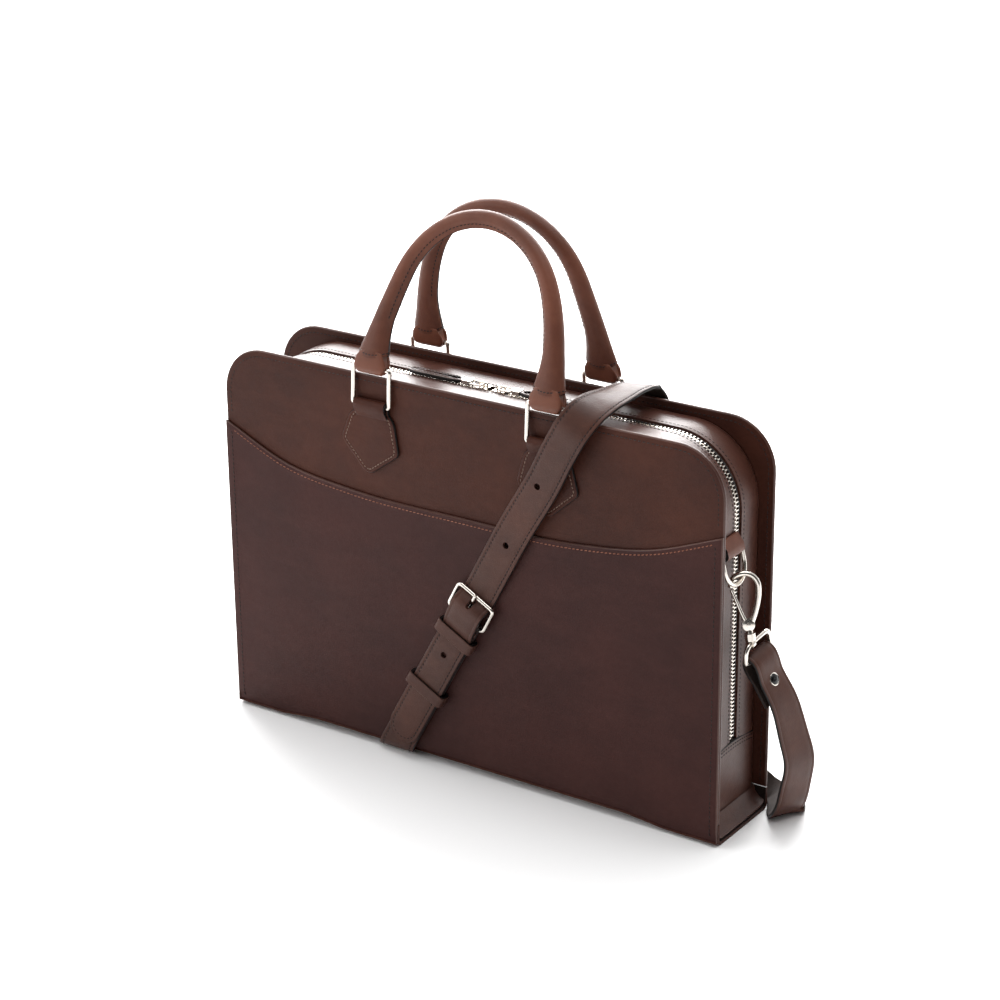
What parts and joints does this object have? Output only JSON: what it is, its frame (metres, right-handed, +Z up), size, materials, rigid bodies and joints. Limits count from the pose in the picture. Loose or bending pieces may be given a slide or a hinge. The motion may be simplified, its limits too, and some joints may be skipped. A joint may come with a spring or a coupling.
{
  "type": "leather briefcase",
  "caption": "Slim leather briefcase with a zipped top, curved slip pocket, rolled handles on rings and a buckled shoulder strap looped round its body.",
  "frame": {"origin": "middle of the footprint of the bag and its shoulder strap, on the surface that they rest on", "axes": "+X along the width, to the right seen from the pocket side; +Y from the pocket side to the back; +Z up"},
  "size_m": [0.4618, 0.1202, 0.3951],
  "materials": {
    "panel_leather": "smooth dark brown hide",
    "pocket_leather": "smooth dark brown hide",
    "handle_leather": "smooth brown hide, rolled",
    "strap_leather": "smooth dark brown hide, black painted edges",
    "lining_fabric": "woven cotton",
    "tape_fabric": "woven zip tape",
    "core_cord": "twisted cord",
    "stiff_board": "stiff fibre board",
    "dark_rivet": "dark cap with a bright rim",
    "nickel": "polished nickel"
  },
  "bodies": {
    "front_shell": {"front_panel": "panel_leather", "front_pocket": "pocket_leather", "front_lining": "lining_fabric", "base_wrap": "panel_leather", "base_board": "stiff_board", "front_gusset": "panel_leather", "lower_gusset_left": "panel_leather", "lower_gusset_right": "panel_leather", "zip_tape_front": "tape_fabric", "zip_teeth_front": "nickel", "front_chape_left": "panel_leather", "front_chape_right": "panel_leather", "side_tab_left": "panel_leather", "side_tab_right": "panel_leather", "strap_front_run": "strap_leather", "strap_top_run": "strap_leather", "strap_drop_right": "strap_leather", "strap_drop_left": "strap_leather", "strap_short_run": "strap_leather", "buckle_frame": "nickel", "keeper_fixed": "strap_leather"},
    "rear_shell": {"back_panel": "panel_leather", "back_lining": "lining_fabric", "inner_pocket": "lining_fabric", "rear_gusset": "panel_leather", "zip_tape_rear": "tape_fabric", "zip_teeth_rear": "nickel", "rear_chape_left": "panel_leather", "rear_chape_right": "panel_leather", "strap_back_run": "strap_leather"},
    "front_rings": {"front_ring_left": "nickel", "front_ring_right": "nickel"},
    "front_handle": {"front_handle_grip": "handle_leather", "front_handle_core": "core_cord"},
    "rear_rings": {"rear_ring_left": "nickel", "rear_ring_right": "nickel"},
    "rear_handle": {"rear_handle_grip": "handle_leather", "rear_handle_core": "core_cord"},
    "slider_left": {"zip_slider_left": "nickel"},
    "slider_right": {"zip_slider_right": "nickel"},
    "pull_left": {"pull_link_left": "nickel", "pull_tab_left": "panel_leather"},
    "pull_right": {"pull_link_right": "nickel", "pull_tab_right": "panel_leather"},
    "clip_left": {"side_ring_left": "nickel", "swivel_eye_left": "nickel", "strap_ring_left": "nickel", "strap_loop_left": "strap_leather", "strap_rivet_left": "dark_rivet"},
    "clip_right": {"side_ring_right": "nickel", "swivel_eye_right": "nickel", "strap_ring_right": "nickel", "strap_loop_right": "strap_leather", "strap_rivet_right": "dark_rivet"},
    "hook_left": {"snap_hook_left": "nickel"},
    "hook_right": {"snap_hook_right": "nickel"},
    "gate_left": {"hook_gate_left": "nickel"},
    "gate_right": {"hook_gate_right": "nickel"},
    "prong": {"buckle_prong": "nickel"},
    "loose_keeper": {"keeper_loose": "strap_leather"}
  },
  "joints": [
    {"name": "rear_shell_open", "type": "hinge", "parent": "front_shell", "child": "rear_shell", "pos_m": [-0.0051, 0.0199, 0.016], "axis": [-1, 0, 0], "range_deg": [0, 12]},
    {"name": "front_rings_tilt", "type": "hinge", "parent": "front_shell", "child": "front_rings", "pos_m": [-0.0051, -0.0509, 0.255], "axis": [1, 0, 0], "range_deg": [0, 6]},
    {"name": "front_handle_swing", "type": "hinge", "parent": "front_rings", "child": "front_handle", "pos_m": [-0.0051, -0.0494, 0.281], "axis": [1, 0, 0], "range_deg": [0, 100]},
    {"name": "rear_rings_tilt", "type": "hinge", "parent": "rear_shell", "child": "rear_rings", "pos_m": [-0.0051, 0.0217, 0.255], "axis": [-1, 0, 0], "range_deg": [0, 6]},
    {"name": "rear_handle_swing", "type": "hinge", "parent": "rear_rings", "child": "rear_handle", "pos_m": [-0.0051, 0.0202, 0.281], "axis": [-1, 0, 0], "range_deg": [0, 100]},
    {"name": "slider_left_run", "type": "slide", "parent": "front_shell", "child": "slider_left", "axis": [-1, 0, 0], "range_m": [0, 0.12]},
    {"name": "pull_left_lift", "type": "hinge", "parent": "slider_left", "child": "pull_left", "pos_m": [-0.0121, -0.0106, 0.26975], "axis": [0, 1, 0], "range_deg": [0, 90]},
    {"name": "slider_right_run", "type": "slide", "parent": "front_shell", "child": "slider_right", "axis": [1, 0, 0], "range_m": [0, 0.12]},
    {"name": "pull_right_lift", "type": "hinge", "parent": "slider_right", "child": "pull_right", "pos_m": [0.0019, -0.0106, 0.26975], "axis": [0, -1, 0], "range_deg": [0, 90]},
    {"name": "clip_right_swing", "type": "hinge", "parent": "front_shell", "child": "clip_right", "pos_m": [0.1871, -0.0246, 0.2], "axis": [0, -1, 0], "range_deg": [0, 20]},
    {"name": "hook_right_swivel", "type": "hinge", "parent": "clip_right", "child": "hook_right", "pos_m": [0.1991, -0.0213, 0.1504], "axis": [-0.1868, 0.0445, 0.9814], "range_deg": [-8, 8]},
    {"name": "gate_right_open", "type": "hinge", "parent": "hook_right", "child": "gate_right", "pos_m": [0.1991, -0.0213, 0.1504], "axis": [-0.5675, 0.8105, -0.1448], "range_deg": [0, 20], "stiffness_Nm_per_rad": 0.02, "springref_deg": -5.73},
    {"name": "clip_left_swing", "type": "hinge", "parent": "front_shell", "child": "clip_left", "pos_m": [-0.1973, -0.0246, 0.2], "axis": [0, 1, 0], "range_deg": [0, 20]},
    {"name": "hook_left_swivel", "type": "hinge", "parent": "clip_left", "child": "hook_left", "pos_m": [-0.2093, -0.0213, 0.1504], "axis": [-0.1868, -0.0445, -0.9814], "range_deg": [-8, 8]},
    {"name": "gate_left_open", "type": "hinge", "parent": "hook_left", "child": "gate_left", "pos_m": [-0.2093, -0.0213, 0.1504], "axis": [-0.5675, -0.8105, 0.1448], "range_deg": [0, 20], "stiffness_Nm_per_rad": 0.02, "springref_deg": -5.73},
    {"name": "prong_lift", "type": "hinge", "parent": "front_shell", "child": "prong", "pos_m": [0.0014, -0.0546, 0.1197], "axis": [0.8761, 0, -0.4821], "range_deg": [0, 8]},
    {"name": "keeper_slide", "type": "slide", "parent": "front_shell", "child": "loose_keeper", "axis": [0.4821, 0, 0.8761], "range_m": [-0.015, 0.025]}
  ]
}
